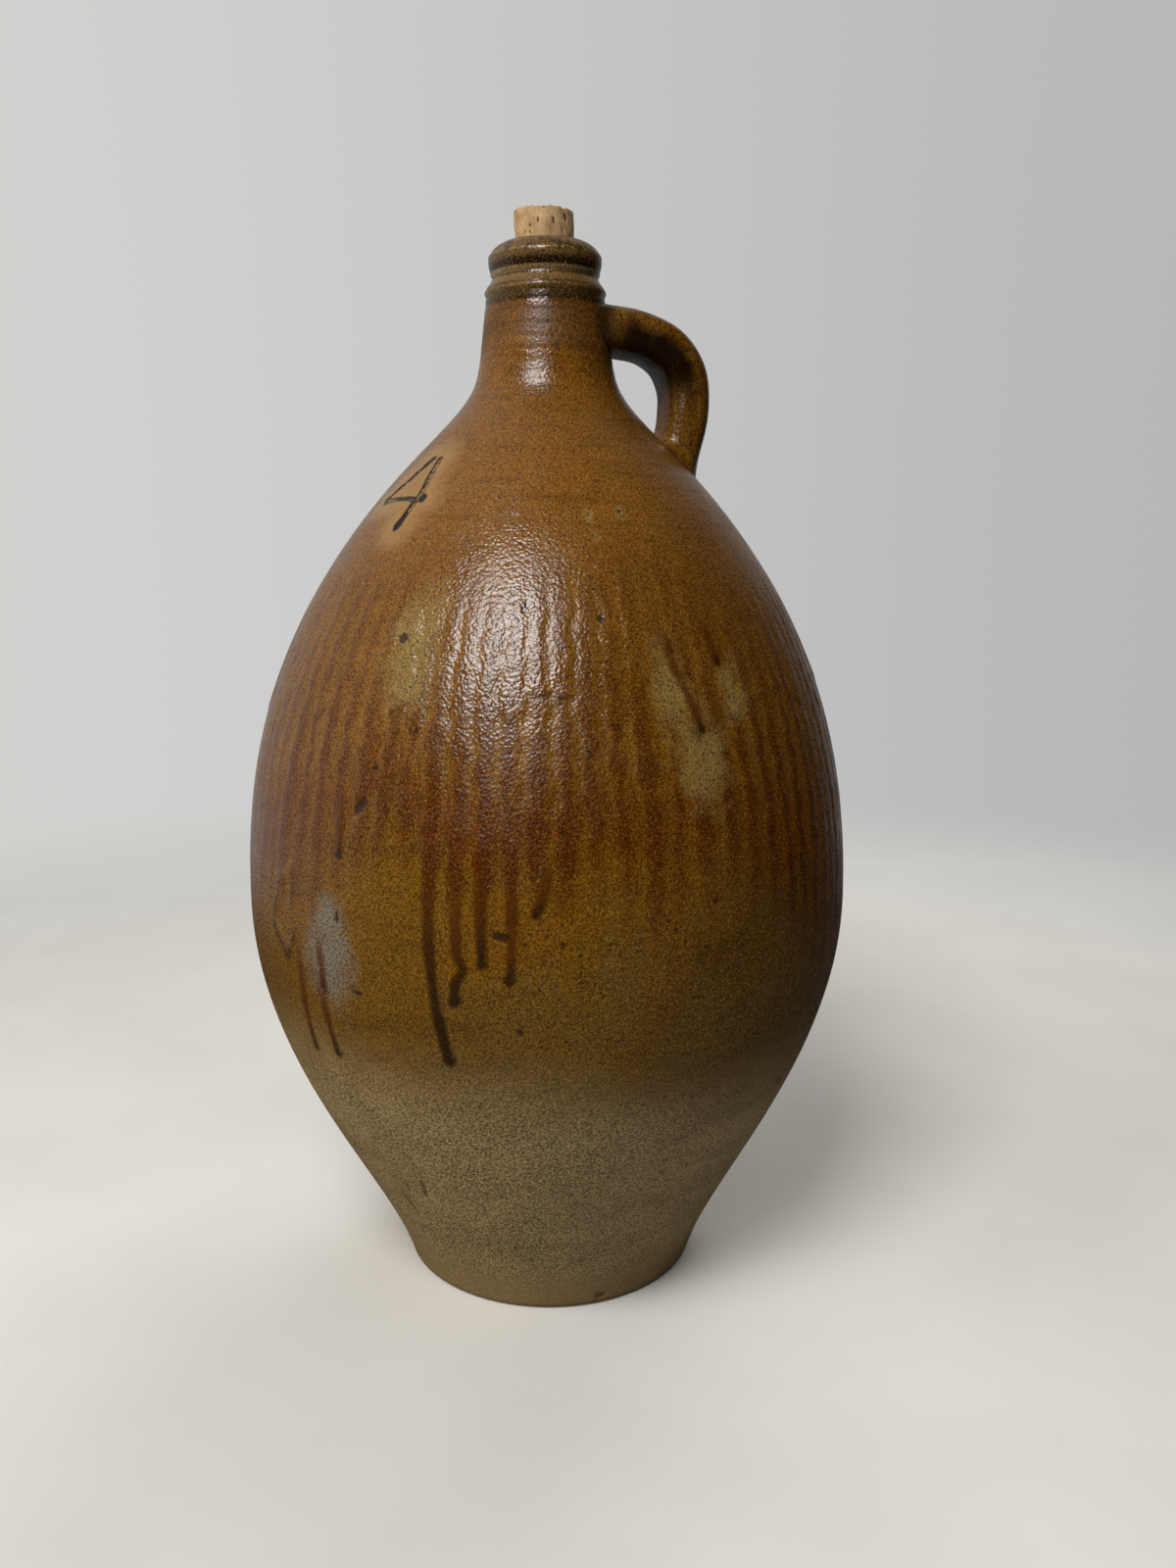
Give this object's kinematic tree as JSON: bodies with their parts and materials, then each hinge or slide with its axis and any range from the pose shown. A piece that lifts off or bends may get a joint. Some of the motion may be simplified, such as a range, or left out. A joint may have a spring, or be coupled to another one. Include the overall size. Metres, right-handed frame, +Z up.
{
  "type": "stoneware jug with cork",
  "caption": "Tall egg-shaped stoneware jug with a narrow foot, short neck, rolled lip and strap handle at the neck, closed by a cork that pulls straight up out of the mouth.",
  "frame": {"origin": "centre of the foot's flat underside, on the jug's axis", "axes": "+Z up along the jug's axis, +X from the axis towards the handle"},
  "size_m": [0.2596, 0.2596, 0.452],
  "materials": {
    "glazed_stoneware": "satin",
    "bare_stoneware": "matte",
    "fired_slip": "satin",
    "cork_bark": "matte"
  },
  "bodies": {
    "jug": {"lower_body": "bare_stoneware", "belly_joint_slip": "fired_slip", "upper_body": "glazed_stoneware", "neck_joint_slip": "fired_slip", "neck_and_lip": "glazed_stoneware", "handle": "glazed_stoneware", "handle_top_slip": "fired_slip", "handle_tail_slip": "fired_slip"},
    "cork": {"cork": "cork_bark"}
  },
  "joints": [
    {"name": "cork_pull", "type": "slide", "parent": "jug", "child": "cork", "axis": [0, 0, 1], "range_m": [0, 0.08]}
  ]
}
